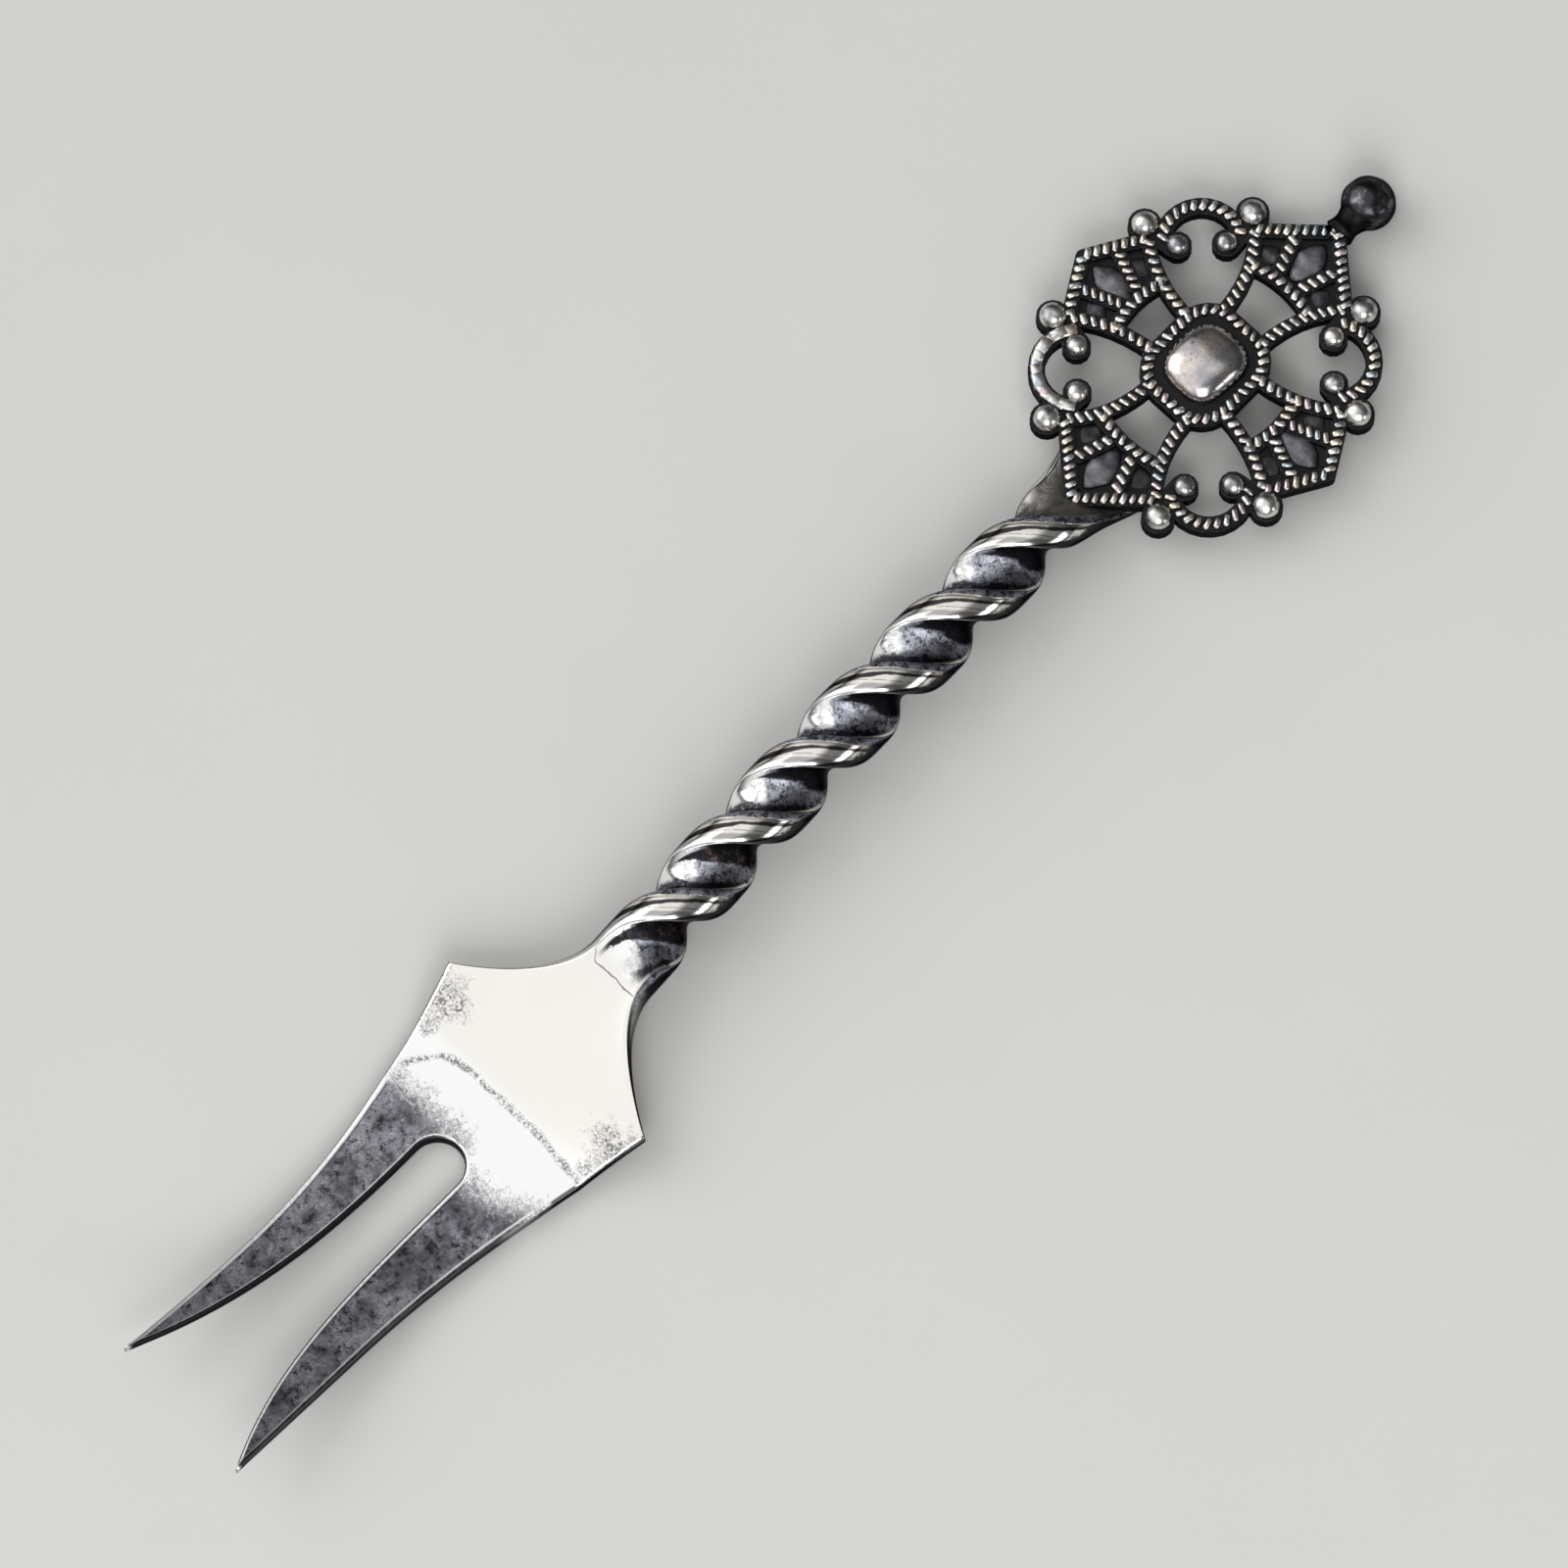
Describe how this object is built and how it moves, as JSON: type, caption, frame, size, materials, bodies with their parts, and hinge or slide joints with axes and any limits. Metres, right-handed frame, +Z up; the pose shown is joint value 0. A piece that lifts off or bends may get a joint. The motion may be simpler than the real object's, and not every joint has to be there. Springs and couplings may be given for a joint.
{
  "type": "fork",
  "caption": "Small serving fork: flat head with long curved tines, a twisted bar for a stem, and a pierced, rope-edged finial with a boss, beads and a ball.",
  "frame": {"origin": "middle of the fork's length and width, on the table that it lies on", "axes": "+X along the fork from the tines to the ball, +Y across it, +Z up from the table"},
  "size_m": [0.1404, 0.0278, 0.0075],
  "materials": {
    "polished_silver": "silver, polished long ago, with grey tarnish on the tines and the stem",
    "oxidised_silver": "silver, black in the hollows and rubbed bright on the ropes, beads and boss"
  },
  "bodies": {
    "root": {"fork_and_stem": "polished_silver", "finial": "oxidised_silver"}
  },
  "joints": []
}
